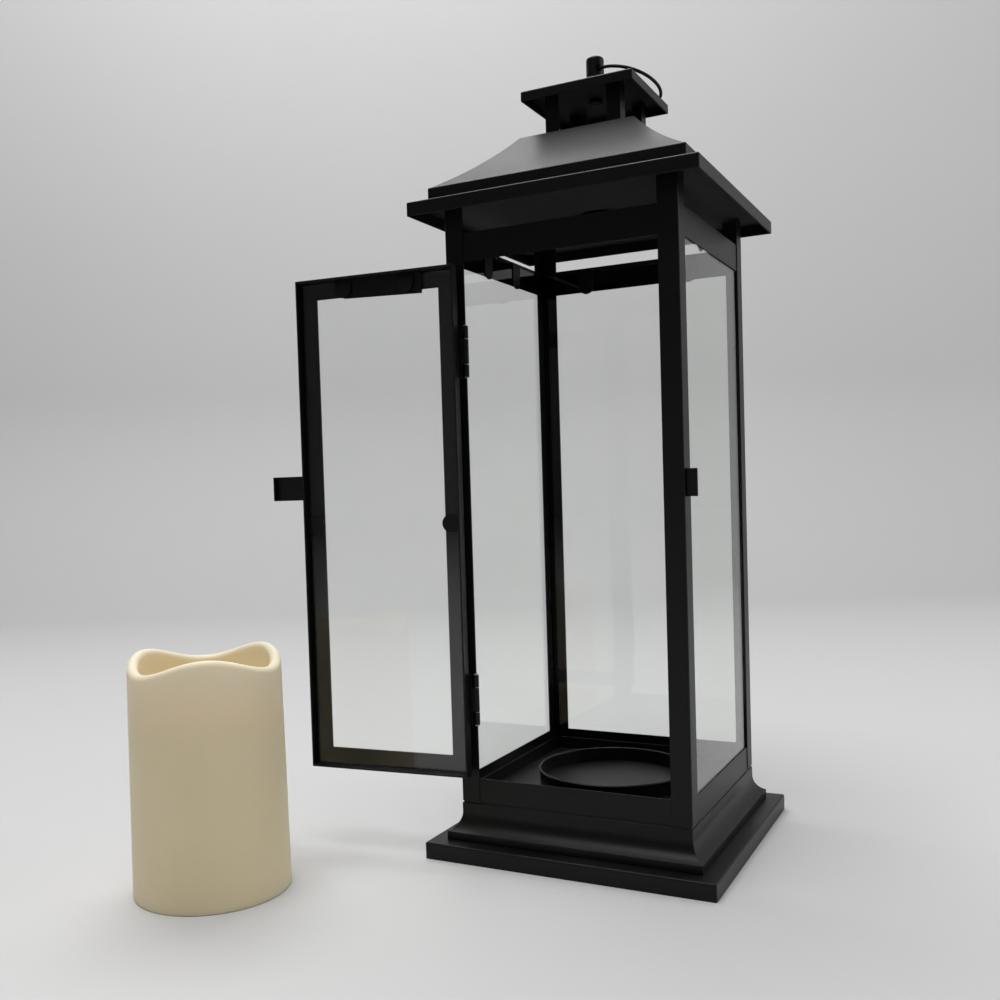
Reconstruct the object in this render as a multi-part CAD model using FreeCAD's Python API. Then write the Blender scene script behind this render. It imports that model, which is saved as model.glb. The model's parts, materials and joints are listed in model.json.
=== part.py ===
import FreeCAD
import Part
import math
import os

# Square candle lantern with an opening glass door, a ring handle and a flameless candle.
# Millimetres, +Z up, front towards -Y. The origin is the centre of the plinth's underside.

V = FreeCAD.Vector
UP = V(0, 0, 1)
ORIGIN = V(0, 0, 0)

# Body: four corner angles, strips between them and panes behind the strips
body_width = 126.0
opening_height = 273.4
post_leg = 10.5
sheet = 1.0
rail_setback = 0.4
bottom_rail_height = 12.8
top_rail_height = 14.8
vent_height = 9.2
glass_thickness = 2.0
glass_lap = 12.3
clip_width = 9.6
clip_show = 1.5
clip_sheet = 0.6
clip_spacing = 37.0
rear_clip_spacing = 63.0

# Base
plinth_overhang = 15.2
plinth_height = 8.8
plinth_hem = 8.0
cove_flare = 6.4
cove_lip_height = 4.4
cove_radius = 10.7
cove_neck = 5.8
seam_depth = 0.6
pan_sheet = 0.8
pan_rim = 8.0
cup_diameter = 84.0
cup_height = 8.6
cup_sheet = 0.8
cup_bead = 0.8

# Roof
eave_overhang = 14.5
eave_lip = 7.2
roof_step_overhang = 6.2
roof_step_height = 8.1
bell_inset = 1.0
bell_height = 29.4
bell_top_width = 63.8
bell_sag = 1.65
heat_hole_diameter = 20.0
cupola_width = 42.6
cupola_height = 24.6
cupola_leg = 7.7
cupola_sheet = 0.8
cap_overhang = 10.05
cap_lip = 5.2
bend_radius = 0.9

# Knob and ring handle
knob_diameter = 9.7
knob_height = 21.7
knob_rounding = 1.6
ring_hole_height = 14.7
ring_diameter = 39.6
ring_wire = 1.8
ring_bearing = 46.0
screw_diameter = 4.0
screw_engagement = 7.0

# Door, measured shut, then swung open for the stored pose
door_open_angle = 174.5
door_free_gap = 7.6
door_hinge_gap = 3.1
door_reveal = 2.7
door_proud = 0.4
door_face = 10.3
door_flange = 7.0
door_glass_margin = 1.0
door_strip_show = 1.2
door_strip_tail = 4.5
door_tab_tilt = 8.0
door_tab_play = 0.1

# Hinges
hinge_length = 26.6
hinge_rise = 40.1
hinge_drop = 44.5
hinge_leaf_width = 9.0
leaf_sheet = 0.8
barrel_diameter = 3.0
pin_diameter = 1.6
barrel_reach = 1.0
barrel_sink = 0.4

# Latch
latch_level = 0.576
latch_height = 13.4
latch_overlap = 8.0
latch_reach = 2.4
catch_height = 13.5
catch_drop = 3.0
catch_setback = 2.7
catch_reach = 5.6
catch_flange = 6.0

# Candle, standing on the floor clear of the door's swing
candle_bearing = 50.0
candle_bottom_diameter = 77.8
candle_top_diameter = 75.0
candle_height = 115.8
candle_wall = 5.5
rim_wave = 3.7
rim_lobes = 3
rim_bearing = -48.0
well_depth = 27.0
well_floor = 4.0
housing_height = 62.0
housing_wall = 2.0
battery_diameter = 14.5
battery_length = 50.5
battery_gap = 2.5
contact_sheet = 0.4
cover_sheet = 1.6
board_diameter = 26.0
board_sheet = 1.6
flame_diameter = 9.0
flame_height = 18.0
switch_length = 6.0
switch_width = 3.6
switch_travel = 4.0

# Clearances
running_fit = 0.05
loose_fit = 0.3
drop_in = 0.5
swing_clearance = 3.0
knuckle_gap = 0.4

# Derived levels, from the floor up
half = body_width / 2
cove_drop = math.sqrt(cove_radius ** 2 - (cove_radius - cove_flare) ** 2)
base_top = plinth_height + cove_lip_height + cove_drop + cove_neck
opening_bottom = base_top + bottom_rail_height
opening_top = opening_bottom + opening_height
rail_top = opening_top + top_rail_height
eave_bottom = rail_top + vent_height
eave_top = eave_bottom + eave_lip
step_top = eave_top + roof_step_height
bell_top = step_top + bell_height
cap_top = bell_top + cupola_height
ring_hole_z = cap_top + ring_hole_height

# Derived widths
inner_half = half - sheet
opening_half = half - post_leg
glass_half = inner_half - glass_thickness - 2 * drop_in
glass_top = opening_top + glass_lap
step_half = half + roof_step_overhang
bell_half = step_half - bell_inset
cap_half = cupola_width / 2 + cap_overhang

# Derived door places, shut
hinge_x = -opening_half + barrel_reach
hinge_y = -half - leaf_sheet - barrel_diameter / 2 + barrel_sink
hinge_axis = V(hinge_x, hinge_y, 0)
door_left = hinge_x + door_hinge_gap
door_right = opening_half - door_free_gap
door_low = opening_bottom + door_reveal
door_high = opening_top - door_reveal
door_front = -half - door_proud
door_back = door_front + door_flange
door_glass_front = door_front + sheet
latch_z = opening_bottom + latch_level * opening_height
catch_z = latch_z - catch_drop
hinge_levels = {"lower": door_low + hinge_rise, "upper": door_high - hinge_drop}

# Derived candle place
candle_foot = candle_bottom_diameter / 2
door_sweep = math.hypot(door_right - hinge_x, door_back - hinge_y)
candle_distance = door_sweep + candle_foot + swing_clearance
candle_turn = math.radians(candle_bearing)
candle_centre = hinge_axis - V(math.sin(candle_turn), math.cos(candle_turn), 0) * candle_distance

# Derived candle works, about the candle's own axis
housing_radius = candle_top_diameter / 2 - candle_wall - housing_wall
housing_low = cover_sheet
bay_low = housing_low + cover_sheet
bay_high = bay_low + battery_length + 3 * contact_sheet
battery_offset = (battery_diameter + battery_gap) / 2
cover_half_length = battery_offset + battery_diameter / 2 + housing_wall
cover_half_width = battery_diameter / 2 + housing_wall
switch_y = -cover_half_width - housing_wall - switch_width / 2
contact_half = battery_diameter / 4
housing_high = max(housing_height, bay_high + housing_wall)
battery_sides = (-battery_offset, battery_offset)

WALL_TURN = {"front": 0, "right": 90, "rear": 180, "left": 270}
CORNER_TURN = {"front_left": 0, "front_right": 90, "rear_right": 180, "rear_left": 270}


def box(x0, y0, z0, x1, y1, z1):
    """Box between two corners."""
    return Part.makeBox(x1 - x0, y1 - y0, z1 - z0, V(x0, y0, z0))


def block(reach, z0, z1):
    """Square block about the Z axis, reaching the same way on every side."""
    return box(-reach, -reach, z0, reach, reach, z1)


def rod(radius, low, high):
    """Round bar between two points."""
    return Part.makeCylinder(radius, (high - low).Length, low, high - low)


def post_rod(radius, z0, z1, x=0.0, y=0.0):
    """Upright round bar."""
    return rod(radius, V(x, y, z0), V(x, y, z1))


def turned(shape, degrees, centre=ORIGIN, axis=UP):
    """Copy of a shape, turned about an axis."""
    result = shape.copy()
    result.rotate(centre, axis, degrees)
    return result


def fused(shapes):
    """One solid from several that overlap or touch."""
    result = shapes[0]
    for shape in shapes[1:]:
        result = result.fuse(shape)
    return result.removeSplitter()


def is_upright(edge):
    """Whether an edge runs along Z."""
    return edge.BoundBox.XLength < 1e-6 and edge.BoundBox.YLength < 1e-6


def is_level(edge, z):
    """Whether an edge lies at one height."""
    return abs(edge.BoundBox.ZMin - z) < 1e-6 and abs(edge.BoundBox.ZMax - z) < 1e-6


def tray(reach, lip_bottom, top):
    """Square tray with its lip turned down and its outer bends rounded."""
    shell = block(reach, lip_bottom, top)
    bends = [e for e in shell.Edges if is_upright(e) or is_level(e, top)]
    shell = shell.makeFillet(bend_radius, bends)
    return shell.cut(block(reach - sheet, lip_bottom - sheet, top - sheet))


def four_sided(edges):
    """Solid with the same right-hand outline on all four sides.

    edges lists the outline's straight or curved edges from bottom to top in the XZ plane. They are
    mirrored and closed, extruded along Y, and crossed with the same body turned a quarter.
    """
    mirror = [e.mirror(ORIGIN, V(1, 0, 0)) for e in edges]
    low = [edges[0].firstVertex().Point, mirror[0].firstVertex().Point]
    high = [edges[-1].lastVertex().Point, mirror[-1].lastVertex().Point]
    closing = [Part.makeLine(*low), Part.makeLine(*high)]
    wire = Part.Wire(Part.__sortEdges__(edges + mirror + closing))
    reach = 2 * max(low[0].x, high[0].x)
    prism = Part.Face(wire).extrude(V(0, 2 * reach, 0))
    prism.translate(V(0, -reach, 0))
    return prism.common(turned(prism, 90))


def make_plinth():
    """Tray that the lantern stands on, with a hem turned in along the floor."""
    reach = half + plinth_overhang
    hem = block(reach - sheet / 2, 0, sheet)
    hem = hem.cut(block(reach - plinth_hem, -sheet, 2 * sheet))
    return fused([tray(reach, 0, plinth_height), hem])


def cove_outline(inset, z_low, z_high):
    """Right-hand outline of the cove, moved in by a sheet's thickness where asked."""
    centre = V(half + cove_radius, 0, base_top - cove_neck)
    radius = cove_radius + inset
    lip_x = half + cove_flare - inset
    neck_x = half - inset
    lip_z = centre.z - math.sqrt(radius ** 2 - (centre.x - lip_x) ** 2)
    turn = (math.pi + math.atan2(lip_z - centre.z, lip_x - centre.x) % (2 * math.pi)) / 2
    middle = centre + V(math.cos(turn), 0, math.sin(turn)) * radius
    lip = V(lip_x, 0, lip_z)
    neck = V(neck_x, 0, centre.z)
    arc = Part.Arc(lip, middle, neck).toShape()
    return [Part.makeLine(V(lip_x, 0, z_low), lip), arc, Part.makeLine(neck, V(neck_x, 0, z_high))]


def make_cove():
    """Hollow cove moulding, with a flange at the top that carries the body and a seam below the body."""
    outside = four_sided(cove_outline(0, plinth_height, base_top))
    inside = four_sided(cove_outline(sheet, plinth_height, base_top - 2 * sheet))
    flange_hole = block(opening_half - sheet, base_top - 3 * sheet, base_top + sheet)
    seam = block(half + sheet, base_top - sheet, base_top + sheet)
    seam = seam.cut(block(half - seam_depth, base_top - 2 * sheet, base_top + 2 * sheet))
    return outside.cut(inside).cut(flange_hole).cut(seam)


def make_floor_pan():
    """Floor tray whose upturned edges hold the feet of the panes."""
    reach = inner_half - glass_thickness - loose_fit
    pan = block(reach, base_top, base_top + pan_rim)
    return pan.cut(block(reach - pan_sheet, base_top + pan_sheet, base_top + 2 * pan_rim))


def make_candle_cup():
    """Shallow round cup with a rim rolled outwards."""
    floor_z = base_top + pan_sheet
    rim_z = floor_z + cup_height
    radius = cup_diameter / 2 - cup_bead
    wall = post_rod(radius, floor_z, rim_z - cup_bead)
    bead = Part.makeTorus(radius, cup_bead, V(0, 0, rim_z - cup_bead))
    hollow = post_rod(radius - cup_sheet, floor_z + cup_sheet, rim_z + cup_bead)
    return fused([wall, bead]).cut(hollow)


def make_post():
    """Corner angle at the front left."""
    z0 = base_top
    z1 = eave_top - sheet
    angle = box(-half, -half, z0, -half + post_leg, -half + post_leg, z1)
    upright = [e for e in angle.Edges if is_upright(e)]
    corner = min(upright, key=lambda e: e.BoundBox.XMax + e.BoundBox.YMax)
    angle = angle.makeFillet(bend_radius, [corner])
    return angle.cut(box(-inner_half, -inner_half, z0 - 1, 0, 0, z1 + 1))


def make_rail(z0, z1):
    """Strip across the front wall, its inner face level with the posts' inner faces."""
    return box(-opening_half, -half + rail_setback, z0, opening_half, -inner_half, z1)


def make_pane():
    """Fixed pane, drawn in the front wall and turned to its own wall."""
    return box(-glass_half, -inner_half, base_top, glass_half, -inner_half + glass_thickness, glass_top)


def make_tab(root, reach):
    """Flat round-ended tab in the XZ plane, hanging from its root, with its back at the root's Y."""
    radius = clip_width / 2
    straight = box(-radius, 0, radius - reach, radius, clip_sheet, 0)
    tip = rod(radius, V(0, 0, radius - reach), V(0, clip_sheet, radius - reach))
    tab = fused([straight, tip])
    tab.translate(root)
    return tab


def make_pane_clips(spacing):
    """Tabs bent over a fixed pane's top edge, drawn in the front wall."""
    back = -inner_half + glass_thickness
    top = glass_top + loose_fit + clip_sheet
    reach = top - opening_top + clip_show
    clips = []
    side = clip_width / 2
    for x in (-spacing / 2, spacing / 2):
        bridge = box(x - side, -inner_half, top - clip_sheet, x + side, back + clip_sheet, top)
        clips.append(fused([bridge, make_tab(V(x, back, top), reach)]))
    return Part.makeCompound(clips)


def make_eave():
    """Eave tray with a round opening for the heat."""
    eave = tray(half + eave_overhang, eave_bottom, eave_top)
    return eave.cut(post_rod(heat_hole_diameter / 2, eave_bottom, eave_top + 1))


def make_roof_step():
    """Second, smaller tray of the roof."""
    step = tray(step_half, eave_top, step_top)
    return step.cut(post_rod(heat_hole_diameter / 2, eave_top, step_top + 1))


def bell_outline(inset, z_high):
    """Right-hand outline of the bell roof: a hollow arc from the step to the platform."""
    low = V(bell_half, 0, step_top)
    high = V(bell_top_width / 2, 0, bell_top)
    chord = high - low
    outward = V(chord.z, 0, -chord.x) / chord.Length
    radius = (chord.Length ** 2 / 4 + bell_sag ** 2) / (2 * bell_sag)
    centre = (low + high) / 2 + outward * (radius - bell_sag)
    ends = []
    for z in (step_top, z_high):
        x = centre.x - math.sqrt((radius + inset) ** 2 - (z - centre.z) ** 2)
        ends.append(V(x, 0, z))
    middle = (ends[0] + ends[1]) / 2 - centre
    middle = centre + middle / middle.Length * (radius + inset)
    return [Part.Arc(ends[0], middle, ends[1]).toShape()]


def make_bell():
    """Hollow bell roof with a platform on top and a flue hole through it."""
    outside = four_sided(bell_outline(0, bell_top))
    inside = four_sided(bell_outline(sheet, bell_top - sheet))
    flue = post_rod(cupola_width / 3, bell_top - 2 * sheet, bell_top + 1)
    return outside.cut(inside).cut(flue)


def make_cupola_post():
    """Small corner angle under the cap, at the front left."""
    reach = cupola_width / 2
    z1 = cap_top - sheet
    angle = box(-reach, -reach, bell_top, -reach + cupola_leg, -reach + cupola_leg, z1)
    inside = reach - cupola_sheet
    return angle.cut(box(-inside, -inside, bell_top - 1, 0, 0, z1 + 1))


def make_cap():
    """Cap tray over the cupola, drilled for the knob's screw."""
    cap = tray(cap_half, cap_top - cap_lip, cap_top)
    return cap.cut(post_rod(screw_diameter / 2 + 2 * running_fit, cap_top - cap_lip, cap_top + 1))


def ring_frame():
    """Swing axis of the ring and the level direction it leans in."""
    turn = math.radians(ring_bearing)
    lean = V(math.cos(turn), math.sin(turn), 0)
    return lean.cross(UP), lean


def make_knob():
    """Round knob with a cross hole for the ring and a tapped hole underneath."""
    axis, lean = ring_frame()
    radius = knob_diameter / 2
    knob = post_rod(radius, cap_top, cap_top + knob_height)
    rim = [e for e in knob.Edges if is_level(e, cap_top + knob_height)]
    knob = knob.makeFillet(knob_rounding, rim)
    bend = ring_diameter / 2 - math.sqrt((ring_diameter / 2) ** 2 - radius ** 2)
    eye = V(0, 0, ring_hole_z)
    hole = rod(ring_wire / 2 + bend + loose_fit, eye - axis * knob_diameter, eye + axis * knob_diameter)
    tapped = post_rod(screw_diameter / 2 + running_fit, cap_top - 1, cap_top + screw_engagement + loose_fit)
    return knob.cut(hole).cut(tapped)


def make_knob_screw():
    """Pan-head screw that holds the knob from under the cap."""
    seat = cap_top - sheet
    shank = post_rod(screw_diameter / 2, seat - sheet, cap_top + screw_engagement)
    head = post_rod(screw_diameter * 0.95, seat - screw_diameter * 0.6, seat)
    low = seat - screw_diameter
    high = seat - screw_diameter * 0.35
    slot = box(-screw_diameter, -screw_diameter / 8, low, screw_diameter, screw_diameter / 8, high)
    return fused([head, shank]).cut(slot)


def make_ring():
    """Wire ring through the knob, leaning until its far side lies on the cap."""
    axis, lean = ring_frame()
    radius = ring_diameter / 2
    drop = math.asin((ring_hole_height - ring_wire / 2 - loose_fit) / ring_diameter)
    towards = lean * math.cos(drop) - UP * math.sin(drop)
    centre = V(0, 0, ring_hole_z) + towards * radius
    return Part.makeTorus(radius, ring_wire / 2, centre, axis.cross(towards))


def make_door_frame():
    """Folded door frame: a flat face round the window and a flange turned in along its edge."""
    frame = box(door_left, door_front, door_low, door_right, door_back, door_high)
    folds = [e for e in frame.Edges if e.BoundBox.YMax < door_front + 1e-6]
    frame = frame.makeFillet(bend_radius, folds)
    frame = frame.cut(box(door_left + sheet, door_glass_front, door_low + sheet,
                          door_right - sheet, door_back + 1, door_high - sheet))
    return frame.cut(box(door_left + door_face, door_front - 1, door_low + door_face,
                         door_right - door_face, door_back + 1, door_high - door_face))


def make_door_glass():
    """Door pane, lying against the back of the frame's face."""
    margin = sheet + door_glass_margin
    return box(door_left + margin, door_glass_front, door_low + margin,
               door_right - margin, door_glass_front + glass_thickness, door_high - margin)


def make_door_clips():
    """Tabs over the edges of the door's pane, two at the top on a loose strip and one on each side."""
    y = door_glass_front + glass_thickness
    middle = (door_left + door_right) / 2
    level = (door_low + door_high) / 2
    root = door_high - sheet - door_tab_play
    reach = door_face
    first = middle - clip_spacing / 2
    last = middle + clip_spacing / 2
    start = first - clip_width / 2 - door_strip_tail
    low = root - reach
    corners = [V(start, y, low - door_strip_show), V(last, y, low), V(last, y, root), V(start, y, root)]
    strip = Part.Face(Part.makePolygon(corners + corners[:1]))
    clips = [strip.extrude(V(0, clip_sheet, 0))]
    for x in (first, last):
        tab = make_tab(V(x, y + clip_sheet, root), reach)
        clips.append(turned(tab, door_tab_tilt, V(x, y + clip_sheet, root), V(1, 0, 0)))
    for x, degrees in ((door_left + sheet, -90), (door_right - sheet, 90)):
        tab = turned(make_tab(ORIGIN, reach), degrees, ORIGIN, V(0, 1, 0))
        tab.translate(V(x, y, level))
        clips.append(tab)
    return Part.makeCompound(clips)


def make_latch_strip():
    """Strip on the door's free edge, with a lip that goes round the post when the door is shut."""
    z0 = latch_z - latch_height / 2
    z1 = latch_z + latch_height / 2
    front = door_front - leaf_sheet
    lip_x = half + latch_reach
    lip_end = -half + catch_setback - loose_fit
    strip = box(door_right - latch_overlap, front, z0, lip_x + leaf_sheet, door_front, z1)
    lip = box(lip_x, front, z0, lip_x + leaf_sheet, lip_end, z1)
    return fused([strip, lip])


def make_catch():
    """Angle on the near post's side, with a flange along the post and a tab that the lip stops against."""
    z0 = catch_z - catch_height / 2
    z1 = catch_z + catch_height / 2
    front = -half + catch_setback
    flange = box(half, front, z0, half + leaf_sheet, front + catch_flange, z1)
    tab = box(half, front, z0, half + catch_reach, front + leaf_sheet, z1)
    return fused([flange, tab])


def knuckle_spans(level):
    """Heights of the lower, middle and upper knuckles of a hinge."""
    quarter = hinge_length / 4
    z0 = level - hinge_length / 2
    lower = (z0, z0 + quarter - knuckle_gap / 2)
    middle = (z0 + quarter + knuckle_gap / 2, z0 + 3 * quarter - knuckle_gap / 2)
    upper = (z0 + 3 * quarter + knuckle_gap / 2, z0 + hinge_length)
    return lower, middle, upper


def make_leaf(plate, spans, others):
    """Hinge leaf: a plate with rolled knuckles, cut back where the other leaf's knuckles go."""
    parts = [plate]
    for z0, z1 in spans:
        parts.append(post_rod(barrel_diameter / 2, z0, z1, hinge_x, hinge_y))
    leaf = fused(parts)
    room = barrel_diameter / 2 + knuckle_gap
    for z0, z1 in others:
        low = z0 - knuckle_gap
        high = z1 + knuckle_gap
        leaf = leaf.cut(box(hinge_x - room, hinge_y - room, low, hinge_x + room, hinge_y + 2 * room, high))
    bore = post_rod(pin_diameter / 2 + running_fit, spans[0][0] - 1, spans[-1][1] + 1, hinge_x, hinge_y)
    return leaf.cut(bore)


def make_post_leaf(level):
    """Hinge leaf on the near post's front face, with the two outer knuckles."""
    lower, middle, upper = knuckle_spans(level)
    left = hinge_x - barrel_reach - hinge_leaf_width
    plate = box(left, -half - leaf_sheet, lower[0], hinge_x, -half, upper[1])
    return make_leaf(plate, [lower, upper], [middle])


def make_door_leaf(level):
    """Hinge leaf on the door's outer face, with the middle knuckle."""
    lower, middle, upper = knuckle_spans(level)
    right = door_left + hinge_leaf_width
    plate = box(hinge_x, door_front - leaf_sheet, lower[0], right, door_front, upper[1])
    return make_leaf(plate, [middle], [lower, upper])


def make_pin(level):
    """Hinge pin with a small head at each end."""
    lower, middle, upper = knuckle_spans(level)
    head = pin_diameter * 0.3
    radius = pin_diameter * 0.75
    return fused([
        post_rod(pin_diameter / 2, lower[0] - head, upper[1] + head, hinge_x, hinge_y),
        post_rod(radius, lower[0] - head, lower[0], hinge_x, hinge_y),
        post_rod(radius, upper[1], upper[1] + head, hinge_x, hinge_y),
    ])


def swung(shape):
    """Door piece, swung from shut to its stored open place."""
    return turned(shape, -door_open_angle, hinge_axis)


def rim_curve(radius):
    """Closed wavy line at the height of the candle's rim."""
    points = []
    count = 12 * rim_lobes
    for i in range(count):
        turn = 2 * math.pi * i / count
        wave = rim_wave * math.cos(rim_lobes * (turn - math.radians(rim_bearing)))
        points.append(V(radius * math.cos(turn), radius * math.sin(turn), candle_height + wave))
    curve = Part.BSplineCurve()
    curve.interpolate(points, PeriodicFlag=True)
    return curve.toShape()


def make_candle_shell():
    """Wax shell with a wavy rim, a well at the top and a room for the works underneath."""
    top = candle_height + 2 * rim_wave
    slope = (candle_bottom_diameter - candle_top_diameter) / 2 / candle_height
    shell = Part.makeCone(candle_foot, candle_foot - slope * top, top)
    well_radius = candle_top_diameter / 2 - candle_wall
    well_z = candle_height - well_depth
    shell = shell.cut(post_rod(well_radius, well_z, top + 1))
    shell = shell.cut(post_rod(housing_radius + loose_fit, -1, well_z - well_floor))
    shell = shell.cut(post_rod(flame_diameter / 2 + loose_fit, 0, top))
    rim = Part.makeRuledSurface(rim_curve(well_radius / 2), rim_curve(candle_foot + candle_wall))
    return shell.cut(rim.extrude(UP * 4 * rim_wave))


def make_housing():
    """Plastic battery housing: two cell bays, a recess for the cover and a slot for the switch."""
    body = post_rod(housing_radius, housing_low, housing_high)
    for x in battery_sides:
        body = body.cut(post_rod(battery_diameter / 2 + loose_fit, housing_low, bay_high, x))
    body = body.cut(box(-cover_half_length, -cover_half_width, housing_low - 1,
                        cover_half_length, cover_half_width, bay_low))
    body = body.cut(box(-battery_offset, -contact_half - loose_fit, bay_low - 1,
                        battery_offset, contact_half + loose_fit, bay_low + contact_sheet + running_fit))
    slot = box(-switch_length / 2 - running_fit, switch_y - switch_width / 2 - running_fit, housing_low - 1,
               switch_length / 2 + switch_travel + running_fit, switch_y + switch_width / 2 + running_fit,
               2 * bay_low)
    return body.cut(slot)


def make_battery_cover():
    """Cover plate over the cells."""
    x = cover_half_length - loose_fit
    y = cover_half_width - loose_fit
    return box(-x, -y, housing_low, x, y, bay_low)


def make_batteries():
    """Two cells side by side, the second one upside down."""
    low = bay_low + contact_sheet
    nub = battery_diameter / 5
    cells = []
    for x, flip in zip(battery_sides, (0, 180)):
        can = post_rod(battery_diameter / 2, low, low + battery_length - contact_sheet, x)
        tip = post_rod(nub, low + battery_length - 2 * contact_sheet, low + battery_length, x)
        middle = V(x, 0, low + battery_length / 2)
        cells.append(turned(fused([can, tip]), flip, middle, V(1, 0, 0)))
    return Part.makeCompound(cells)


def make_contacts():
    """Bridge plate under the cells and a contact plate over each of them."""
    reach = contact_half
    plates = [box(-battery_offset, -reach, bay_low, battery_offset, reach, bay_low + contact_sheet)]
    for x in battery_sides:
        plates.append(box(x - reach, -reach, bay_high - contact_sheet, x + reach, reach, bay_high))
    return Part.makeCompound(plates)


def make_board():
    """Round circuit board on top of the housing."""
    return post_rod(board_diameter / 2, housing_high, housing_high + board_sheet)


def make_flame():
    """Clear flame-shaped lens on a stem that stands on the board."""
    low = housing_high + board_sheet
    root = candle_height - well_depth
    radius = flame_diameter / 2
    stem = post_rod(radius, low, root + radius)
    tip = Part.makeCone(radius, radius / 4, flame_height - radius, V(0, 0, root + radius))
    rims = [e for e in tip.Edges if is_level(e, root + flame_height)]
    return fused([stem, tip.makeFillet(radius / 6, rims)])


def make_switch():
    """Slide switch under the candle."""
    return box(-switch_length / 2, switch_y - switch_width / 2, housing_low / 2,
               switch_length / 2, switch_y + switch_width / 2, 2 * bay_low - running_fit)


def placed(shape):
    """Candle piece, moved from the origin to where the candle stands."""
    shape.translate(candle_centre)
    return shape


def save(name, shape):
    """Write one node's solids."""
    shape.exportStep("parts/" + name + ".step")


def save_base():
    """Base, floor and candle cup."""
    save("base_plinth", make_plinth())
    save("base_cove", make_cove())
    save("floor_pan", make_floor_pan())
    save("candle_cup", make_candle_cup())


def save_body():
    """Posts, rails, fixed panes, their clips and the latch's catch."""
    for corner, degrees in CORNER_TURN.items():
        save("post_" + corner, turned(make_post(), degrees))
        save("cupola_post_" + corner, turned(make_cupola_post(), degrees))
    for wall, degrees in WALL_TURN.items():
        save("bottom_rail_" + wall, turned(make_rail(base_top, opening_bottom), degrees))
        save("top_rail_" + wall, turned(make_rail(opening_top, rail_top), degrees))
        if wall == "front":
            continue
        spacing = rear_clip_spacing if wall == "rear" else clip_spacing
        save("glass_" + wall, turned(make_pane(), degrees))
        save("glass_clips_" + wall, turned(make_pane_clips(spacing), degrees))
    save("latch_catch", make_catch())


def save_roof():
    """Roof, cap, knob and ring."""
    save("eave_tray", make_eave())
    save("roof_step", make_roof_step())
    save("bell_roof", make_bell())
    save("cupola_cap", make_cap())
    save("knob", make_knob())
    save("knob_screw", make_knob_screw())
    save("ring_handle", make_ring())


def save_door():
    """Door with its pane, clips, latch strip and hinges."""
    save("door_frame", swung(make_door_frame()))
    save("door_glass", swung(make_door_glass()))
    save("door_glass_clips", swung(make_door_clips()))
    save("latch_strip", swung(make_latch_strip()))
    for place, level in hinge_levels.items():
        save("hinge_post_leaf_" + place, make_post_leaf(level))
        save("hinge_door_leaf_" + place, swung(make_door_leaf(level)))
        save("hinge_pin_" + place, make_pin(level))


def save_candle():
    """Flameless candle and its works."""
    save("candle_shell", placed(make_candle_shell()))
    save("candle_housing", placed(make_housing()))
    save("candle_battery_cover", placed(make_battery_cover()))
    save("candle_batteries", placed(make_batteries()))
    save("candle_contacts", placed(make_contacts()))
    save("candle_board", placed(make_board()))
    save("candle_flame", placed(make_flame()))
    save("candle_switch", placed(make_switch()))


os.makedirs("parts", exist_ok=True)
save_base()
save_body()
save_roof()
save_door()
save_candle()
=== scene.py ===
import bpy
import json
import numpy as np
from mathutils import Matrix, Vector


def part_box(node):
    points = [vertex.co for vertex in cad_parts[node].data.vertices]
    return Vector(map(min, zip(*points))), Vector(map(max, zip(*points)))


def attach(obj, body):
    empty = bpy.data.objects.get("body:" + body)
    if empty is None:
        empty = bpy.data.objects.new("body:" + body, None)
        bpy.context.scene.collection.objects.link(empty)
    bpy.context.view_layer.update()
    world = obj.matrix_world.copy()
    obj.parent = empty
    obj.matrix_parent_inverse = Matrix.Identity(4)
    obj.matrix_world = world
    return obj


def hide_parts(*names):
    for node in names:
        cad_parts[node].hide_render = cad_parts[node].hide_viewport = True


# Looks of the candle lantern: materials, the candle's soft wax shell, a pale studio and the camera.

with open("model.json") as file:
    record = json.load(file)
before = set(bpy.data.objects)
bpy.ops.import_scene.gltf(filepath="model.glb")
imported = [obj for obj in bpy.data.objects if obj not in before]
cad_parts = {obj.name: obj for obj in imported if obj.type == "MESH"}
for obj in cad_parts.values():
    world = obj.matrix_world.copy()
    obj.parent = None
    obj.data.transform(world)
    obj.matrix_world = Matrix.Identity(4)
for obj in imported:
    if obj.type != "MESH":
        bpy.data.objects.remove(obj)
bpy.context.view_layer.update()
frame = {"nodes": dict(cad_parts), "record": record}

UP = np.array([0.0, 0.0, 1.0])

# Camera, solved from the lantern's square edges: metres, and millimetres for the lens
CAMERA_PLACE = (0.20796, -0.56132, 0.19710)
CAMERA_RIGHT = (0.8864, 0.4619, -0.0311)
CAMERA_DOWN = (-0.0100, -0.0479, -0.9988)
CAMERA_FORWARD = (-0.4628, 0.8857, -0.0378)
CAMERA_SENSOR = 36.0
CAMERA_LENS = 38.34
CAMERA_SHIFT = (0.0286, 0.0271)
CAMERA_NEAREST = 0.01

# Candle's rim, well and room for its works: lengths in metres, bearing in degrees
RIM_WAVE = 0.0037
RIM_LOBES = 3
RIM_BEARING = -48.0
CANDLE_TAPER = 0.0014
CANDLE_WALL = 0.0055
WELL_DEPTH = 0.027
WELL_FLOOR = 0.004
WELL_CORNER = 0.004
WELL_MIDDLE = 0.02
WORKS_RADIUS = 0.0303
WORKS_MIDDLE = 0.04
FLAME_HOLE = 0.0048
FOOT_ROUNDING = 0.0008

# Rows of points on the candle's outline, and points round it
FOOT_ROWS = 4
SIDE_ROWS = 30
RIM_ROWS = 17
WELL_ROWS = 8
CORNER_ROWS = 7
CANDLE_POINTS = 192

# Studio paper: reaches from the lantern's axis, in metres, and points along its bend
SWEEP_FRONT = 5.0
SWEEP_BACK = 1.1
SWEEP_RADIUS = 0.4
SWEEP_WIDTH = 9.0
SWEEP_HEIGHT = 3.2
SWEEP_BEND_POINTS = 24

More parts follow.
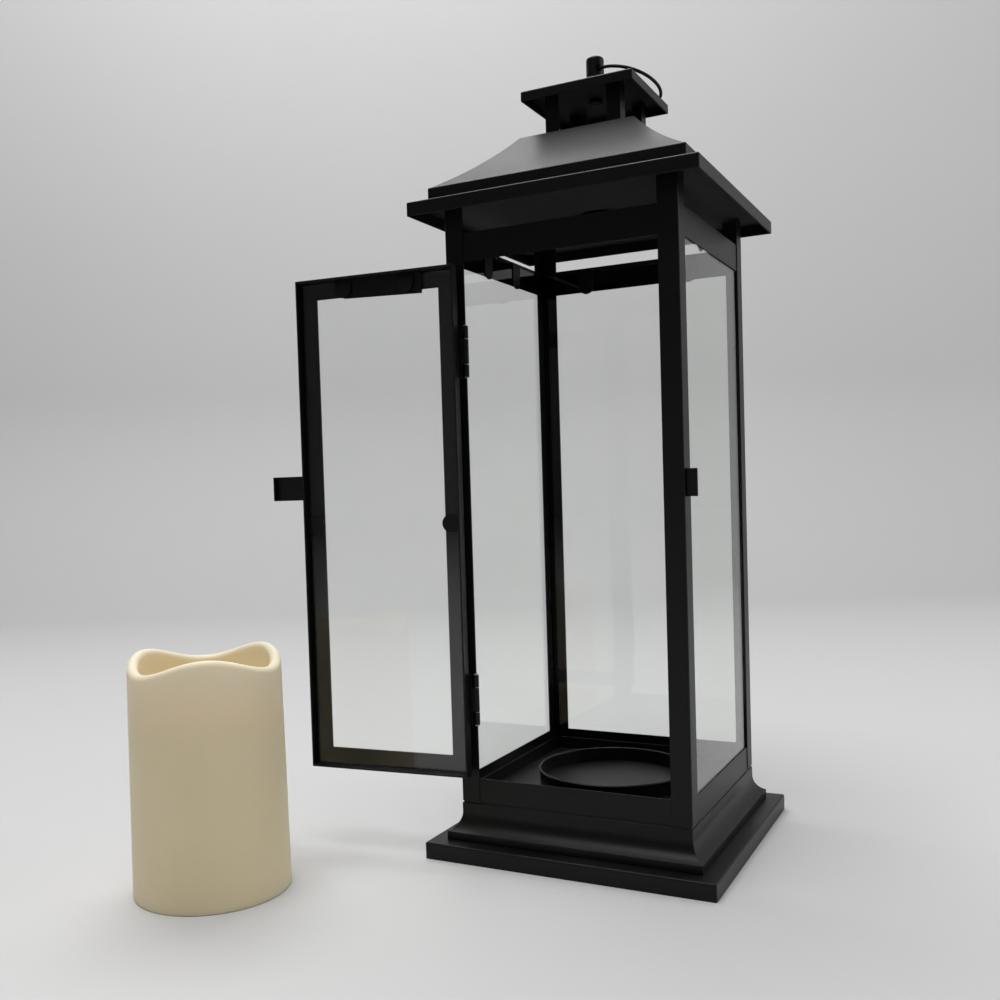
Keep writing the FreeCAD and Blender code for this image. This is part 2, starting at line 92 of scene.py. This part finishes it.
# Room light round the studio
ROOM_COLOUR = (1.0, 0.99, 0.98, 1.0)
ROOM_STRENGTH = 0.11

# Edge softening of the sheet metal and the panes: lengths in metres, angle in degrees
EDGE_ROUNDING = 0.00022
EDGE_WELD = 0.000002
EDGE_ANGLE = 35.0


class Field:
    """Shader socket that takes part in sums and products."""

    def __init__(self, graph, socket):
        self.graph = graph
        self.socket = socket

    def maths(self, operation, first, second):
        return self.graph.node("ShaderNodeMath", {0: first, 1: second}, operation=operation)

    def __add__(self, other):
        return self.maths("ADD", self, other)

    def __radd__(self, other):
        return self.maths("ADD", other, self)

    def __mul__(self, other):
        return self.maths("MULTIPLY", self, other)

    def __rmul__(self, other):
        return self.maths("MULTIPLY", other, self)


class Graph:
    """Node tree of one new material."""

    def __init__(self, name):
        self.material = bpy.data.materials.new(name)
        self.material.use_nodes = True
        self.tree = self.material.node_tree
        self.tree.nodes.clear()

    def node(self, kind, inputs=None, output=0, **settings):
        """Adds a node, sets its options and inputs, and returns one of its outputs."""
        made = self.tree.nodes.new(kind)
        for key, value in settings.items():
            setattr(made, key, value)
        for key, value in (inputs or {}).items():
            if isinstance(value, Field):
                self.tree.links.new(value.socket, made.inputs[key])
            else:
                made.inputs[key].default_value = value
        return Field(self, made.outputs[output]) if made.outputs else None

    def place(self):
        """Object coordinates, which are the frame's own metres."""
        return self.node("ShaderNodeTexCoord", output="Object")

    def noise(self, scale, detail=3.0, roughness=0.5):
        """Noise from 0 to 1 with features of about 1 / scale metres."""
        inputs = {"Vector": self.place(), "Scale": scale, "Detail": detail, "Roughness": roughness}
        return self.node("ShaderNodeTexNoise", inputs)

    def between(self, factor, first, second):
        """Colour between two colours."""
        inputs = {0: factor, 6: rgba(first), 7: rgba(second)}
        return self.node("ShaderNodeMix", inputs, output=2, data_type="RGBA")

    def range(self, value, low, high):
        """Value stretched from low..high to 0..1 and held there."""
        inputs = {"Value": value, "From Min": low, "From Max": high}
        return self.node("ShaderNodeMapRange", inputs)

    def bump(self, height, distance, strength=1.0):
        """Normal tilted by a height field."""
        return self.node("ShaderNodeBump", {"Height": height, "Distance": distance, "Strength": strength})

    def surface(self, **inputs):
        """Principled shader; words in the input names are joined by underscores."""
        named = {key.replace("_", " "): value for key, value in inputs.items()}
        return self.node("ShaderNodeBsdfPrincipled", named)

    def finish(self, shader):
        self.node("ShaderNodeOutputMaterial", {"Surface": shader})
        return self.material


def rgba(colour):
    """Colour with full opacity, or a field left as it is."""
    return colour if isinstance(colour, Field) else (*colour, 1.0)


def black_paint():
    """Satin black powder coat: fine grain, cloudy sheen, dusty tops, duller slopes and undersides."""
    g = Graph("black_paint")
    grain = g.noise(1700.0, 2.0)
    cloud = g.noise(14.0, 5.0, 0.6)
    speck = g.range(g.noise(520.0, 1.0), 0.70, 0.78)
    up = g.node("ShaderNodeSeparateXYZ", {0: g.node("ShaderNodeNewGeometry", output="Normal")}, output=2)
    dust = g.range(up, 0.75, 1.0) * g.range(cloud, 0.35, 0.75)
    colour = g.between(cloud, (0.0016, 0.0016, 0.0018), (0.0032, 0.0031, 0.0030))
    colour = g.between(dust * 0.06 + speck * 0.02, colour, (0.12, 0.115, 0.105))
    slope = g.range(up, 0.60, 0.75) * g.range(up, 0.99, 0.95)
    dry = g.range(up, -0.6, -0.95)
    rough = 0.30 + cloud * 0.10 + grain * 0.05 + dust * 0.08 + slope * 0.05 + dry * 0.5
    return g.finish(g.surface(
        Base_Color=colour, Roughness=rough, Specular_IOR_Level=0.24,
        Normal=g.bump(grain, 0.00006, 0.5)))


def clear_glass():
    """Clear pane with faint wiping marks. Shadow and diffuse rays pass straight through."""
    g = Graph("clear_glass")
    smear = g.range(g.noise(26.0, 6.0, 0.65), 0.45, 0.8)
    tint = g.between(smear, (0.955, 0.972, 0.955), (0.935, 0.955, 0.940))
    pane = g.surface(Base_Color=tint, Roughness=smear * 0.018, IOR=1.47, Transmission_Weight=1.0)
    through = g.node("ShaderNodeBsdfTransparent", {"Color": (0.97, 0.98, 0.975, 1.0)})
    shadow = g.node("ShaderNodeLightPath", output="Is Shadow Ray")
    diffuse = g.node("ShaderNodeLightPath", output="Is Diffuse Ray")
    soft = g.node("ShaderNodeMath", {0: shadow, 1: diffuse}, operation="MAXIMUM")
    return g.finish(g.node("ShaderNodeMixShader", {0: soft, 1: pane, 2: through}))


def ivory_wax():
    """Ivory wax: cloudy, finely pitted, lit through its skin; painted highlight paler towards the rim."""
    g = Graph("ivory_wax")
    cloud = g.noise(22.0, 4.0, 0.55)
    pits = g.noise(420.0, 3.0)
    height = g.node("ShaderNodeSeparateXYZ", {0: g.place()}, output=2)
    # Painted highlight: the wax is painted paler from here up to the rim, where the top of the candle is
    # lit more.
    rim = g.range(height, 0.085, 0.120)
    colour = g.between(cloud, (0.785, 0.665, 0.430), (0.855, 0.740, 0.510))
    colour = g.between(rim * 0.65, colour, (0.900, 0.835, 0.690))
    rough = 0.40 + cloud * 0.10 + pits * 0.06
    return g.finish(g.surface(
        Base_Color=colour, Roughness=rough, Specular_IOR_Level=0.35, Subsurface_Weight=0.35,
        Subsurface_Radius=(0.009, 0.006, 0.003), Subsurface_Scale=1.0, Normal=g.bump(pits, 0.00005, 0.5)))


def moulded(name, dark, light, rough):
    """Moulded plastic with a fine spark-eroded grain."""
    g = Graph(name)
    grain = g.noise(1300.0, 2.0)
    cloud = g.noise(30.0, 3.0)
    return g.finish(g.surface(
        Base_Color=g.between(cloud, dark, light), Roughness=rough + grain * 0.12,
        Normal=g.bump(grain, 0.00005, 0.5)))


def plated_steel():
    """Plated steel with drawn streaks."""
    g = Graph("plated_steel")
    streak = g.noise(900.0, 4.0, 0.7)
    cloud = g.noise(60.0, 3.0)
    return g.finish(g.surface(
        Base_Color=g.between(cloud, (0.34, 0.34, 0.33), (0.52, 0.52, 0.51)), Metallic=1.0,
        Roughness=0.25 + streak * 0.2, Normal=g.bump(streak, 0.00003, 0.4)))


def clear_lens():
    """Frosted flame lens, warm at its foot."""
    g = Graph("clear_lens")
    frost = g.noise(700.0, 2.0)
    height = g.node("ShaderNodeSeparateXYZ", {0: g.place()}, output=2)
    colour = g.between(g.range(height, 0.088, 0.107), (0.95, 0.72, 0.42), (0.98, 0.93, 0.84))
    return g.finish(g.surface(
        Base_Color=colour, Roughness=0.25 + frost * 0.2, Transmission_Weight=0.6, IOR=1.45,
        Normal=g.bump(frost, 0.00004, 0.5)))


def level_axes():
    """The camera's level direction and the direction square to it, on the floor."""
    ahead = np.array([CAMERA_FORWARD[0], CAMERA_FORWARD[1], 0.0])
    ahead = ahead / np.linalg.norm(ahead)
    return ahead, np.array([ahead[1], -ahead[0], 0.0])


def studio_paper():
    """Matt pale backdrop paper, a little cloudy, with painted shade on the far floor and low on the wall.
    """
    g = Graph("studio_paper")
    cloud = g.noise(1.3, 3.0)
    height = g.node("ShaderNodeSeparateXYZ", {0: g.place()}, output=2)
    ahead = level_axes()[0]
    along = g.node(
        "ShaderNodeVectorMath", {0: g.place(), 1: ahead}, output="Value", operation="DOT_PRODUCT")
    # Painted shade: darker on the far floor and low on the wall, fading out up the wall.
    painted_far_shade = g.range(along, -0.2, 1.1) * g.range(height, 0.40, 0.0)
    colour = g.between(cloud, (0.615, 0.615, 0.62), (0.66, 0.66, 0.66))
    colour = g.between(painted_far_shade * 0.28, colour, (0.0, 0.0, 0.0))
    return g.finish(g.surface(Base_Color=colour, Roughness=0.7, Specular_IOR_Level=0.2))


def surface_mesh(name, points, close_rows=False, close_columns=True):
    """Smooth mesh over a grid of points [row, column, xyz], joined round where asked."""
    rows, columns = points.shape[:2]
    row = np.arange(rows if close_rows else rows - 1)
    column = np.arange(columns if close_columns else columns - 1)
    i, j = np.meshgrid(row, column, indexing="ij")
    up = (i + 1) % rows
    along = (j + 1) % columns
    corners = [i * columns + j, i * columns + along, up * columns + along, up * columns + j]
    faces = np.stack(corners, axis=-1).reshape(-1, 4)
    mesh = bpy.data.meshes.new(name)
    mesh.from_pydata(points.reshape(-1, 3).tolist(), [], faces.tolist())
    mesh.polygons.foreach_set("use_smooth", [True] * len(faces))
    mesh.update()
    made = bpy.data.objects.new(name, mesh)
    bpy.context.scene.collection.objects.link(made)
    return made


def candle_section(rim):
    """Closed outline of the wax shell for rim heights rim(angle), as rows of (radius, height).

    The outside tapers as R - k z. The rim is a half circle across the wall, the well's corner is a
    quarter circle, and the room for the works is a plain hole underneath.
    """
    low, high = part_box("candle_shell")
    foot = (high.x - low.x) / 2
    mean = high.z - RIM_WAVE
    taper = CANDLE_TAPER / mean
    bend = CANDLE_WALL / 2
    well = foot - CANDLE_TAPER - CANDLE_WALL
    floor = mean - WELL_DEPTH
    same = np.ones_like(rim)
    rows = [(WORKS_RADIUS * same, 0 * same), ((foot - FOOT_ROUNDING) * same, 0 * same)]
    for turn in np.linspace(0, np.pi / 2, FOOT_ROWS)[1:]:
        radius = foot - FOOT_ROUNDING * (1 - np.sin(turn))
        rows.append((radius * same, FOOT_ROUNDING * (1 - np.cos(turn)) * same))
    for share in np.linspace(0.03, 1.0, SIDE_ROWS):
        z = share * (rim - bend)
        rows.append((foot - taper * z, z))
    middle = well + bend
    outer = foot - taper * (rim - bend) - middle
    for turn in np.linspace(0, np.pi, RIM_ROWS)[1:]:
        reach = np.where(np.cos(turn) > 0, outer, bend)
        rows.append((middle + reach * np.cos(turn), rim - bend + bend * np.sin(turn)))
    for share in np.linspace(0.1, 1.0, WELL_ROWS):
        z = (rim - bend) * (1 - share) + (floor + WELL_CORNER) * share
        rows.append((well * same, z))
    for turn in np.linspace(0, np.pi / 2, CORNER_ROWS)[1:]:
        radius = well - WELL_CORNER * (1 - np.cos(turn))
        rows.append((radius * same, (floor + WELL_CORNER * (1 - np.sin(turn))) * same))
    under = floor - WELL_FLOOR
    for radius, z in (
        (WELL_MIDDLE, floor), (FLAME_HOLE, floor), (FLAME_HOLE, under),
        (WELL_MIDDLE, under), (WORKS_RADIUS, under), (WORKS_RADIUS, WORKS_MIDDLE),
    ):
        rows.append((radius * same, z * same))
    return rows


def candle_wax():
    """Wax shell turned about the candle's axis, its rim at z = h + a cos(n (t - t0))."""
    low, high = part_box("candle_shell")
    centre = (low + high) / 2
    angle = np.linspace(0, 2 * np.pi, CANDLE_POINTS, endpoint=False)
    wave = np.cos(RIM_LOBES * (angle - np.radians(RIM_BEARING)))
    rim = high.z - RIM_WAVE + RIM_WAVE * wave
    rings = []
    for radius, z in candle_section(rim):
        x = centre.x + radius * np.cos(angle)
        y = centre.y + radius * np.sin(angle)
        rings.append(np.stack([x, y, z], axis=-1))
    shell = surface_mesh("candle_wax", np.array(rings), close_rows=True)
    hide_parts("candle_shell")
    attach(shell, "candle")
    return shell


def soften_edges(node):
    """Small rounded bends along a node's sharp edges."""
    weld = node.modifiers.new("weld", "WELD")
    weld.merge_threshold = EDGE_WELD
    bevel = node.modifiers.new("bevel", "BEVEL")
    bevel.width = EDGE_ROUNDING
    bevel.segments = 2
    bevel.limit_method = "ANGLE"
    bevel.angle_limit = np.radians(EDGE_ANGLE)
    node.modifiers.new("normals", "WEIGHTED_NORMAL")


def dress():
    """Gives every node the material of its slot in the record."""
    looks = {
        "black_paint": black_paint(),
        "clear_glass": clear_glass(),
        "ivory_wax": ivory_wax(),
        "clear_lens": clear_lens(),
        "white_plastic": moulded("white_plastic", (0.60, 0.58, 0.53), (0.70, 0.68, 0.63), 0.38),
        "cell_jacket": moulded("cell_jacket", (0.03, 0.03, 0.035), (0.06, 0.06, 0.065), 0.25),
        "plated_steel": plated_steel(),
        "circuit_board": moulded("circuit_board", (0.02, 0.08, 0.03), (0.04, 0.12, 0.05), 0.35),
    }
    for part in frame["record"]["subparts"]:
        node = frame["nodes"][part["node"]]
        node.data.materials.clear()
        node.data.materials.append(looks[part["material_slot"]])
        if part["material_slot"] in ("black_paint", "clear_glass"):
            soften_edges(node)
    candle_wax().data.materials.append(looks["ivory_wax"])


def studio_sweep():
    """Paper sweep p = a d + s w + k z: floor, quarter circle (B + R sin t, R - R cos t) and wall."""
    ahead, side = level_axes()
    turn = np.linspace(0, np.pi / 2, SWEEP_BEND_POINTS)
    wall = SWEEP_BACK + SWEEP_RADIUS
    reach = np.concatenate([[-SWEEP_FRONT], SWEEP_BACK + SWEEP_RADIUS * np.sin(turn), [wall]])
    rise = np.concatenate([[0.0], SWEEP_RADIUS * (1 - np.cos(turn)), [SWEEP_HEIGHT]])
    edge = np.array([-SWEEP_WIDTH / 2, SWEEP_WIDTH / 2])
    points = reach[:, None, None] * ahead + edge[None, :, None] * side
    points[:, :, 2] = rise[:, None]
    sweep = surface_mesh("sweep", points, close_columns=False)
    sweep.data.materials.append(studio_paper())


def soft_light(name, place, aim, size, watts):
    """Rectangular soft light of (width, height) metres, aimed at a point."""
    data = bpy.data.lights.new(name, "AREA")
    data.shape = "RECTANGLE"
    data.size, data.size_y = size
    data.energy = watts
    lamp = bpy.data.objects.new(name, data)
    bpy.context.scene.collection.objects.link(lamp)
    lamp.location = place
    lamp.rotation_euler = (Vector(aim) - Vector(place)).to_track_quat("-Z", "Y").to_euler()


def light_studio():
    """Overhead softbox, side and front lights, two washes over the paper and a dim room."""
    soft_light("overhead", place=(-0.6, 0.4, 2.2), aim=(-0.1, 0.1, 0), size=(1.2, 1.2), watts=18.5)
    soft_light("side", place=(1.9, 0.7, 0.9), aim=(0, 0, 0.25), size=(1.4, 1.6), watts=9.0)
    soft_light("front", place=(-0.05, -0.85, 2.6), aim=(0.0, -0.34, 0), size=(1.7, 1.3), watts=38.5)
    ahead, side = level_axes()
    soft_light(
        "side_wash", place=ahead * 0.8 + side * 2.7 + UP * 2.0, aim=ahead * 1.9 + side * 3.6,
        size=(1.6, 0.4), watts=14.0)
    soft_light(
        "wash", place=ahead * 1.2 - side * 0.2 + UP * 2.3, aim=ahead * 1.5 - side * 0.2 + UP * 1.2,
        size=(3.0, 0.3), watts=15.5)
    world = bpy.data.worlds.new("room")
    world.use_nodes = True
    backdrop = world.node_tree.nodes["Background"]
    backdrop.inputs["Color"].default_value = ROOM_COLOUR
    backdrop.inputs["Strength"].default_value = ROOM_STRENGTH
    bpy.context.scene.world = world


def set_camera():
    """Camera at the photograph's place, with the same crop."""
    data = bpy.data.cameras.new("camera")
    data.sensor_width = CAMERA_SENSOR
    data.lens = CAMERA_LENS
    data.shift_x, data.shift_y = CAMERA_SHIFT
    data.clip_start = CAMERA_NEAREST
    camera = bpy.data.objects.new("camera", data)
    bpy.context.scene.collection.objects.link(camera)
    columns = [Vector(CAMERA_RIGHT), -Vector(CAMERA_DOWN), -Vector(CAMERA_FORWARD)]
    turn = Matrix(columns).transposed()
    camera.matrix_world = Matrix.Translation(CAMERA_PLACE) @ turn.to_4x4()
    bpy.context.scene.camera = camera


dress()
studio_sweep()
light_studio()
set_camera()
bpy.context.scene.view_settings.view_transform = "Standard"
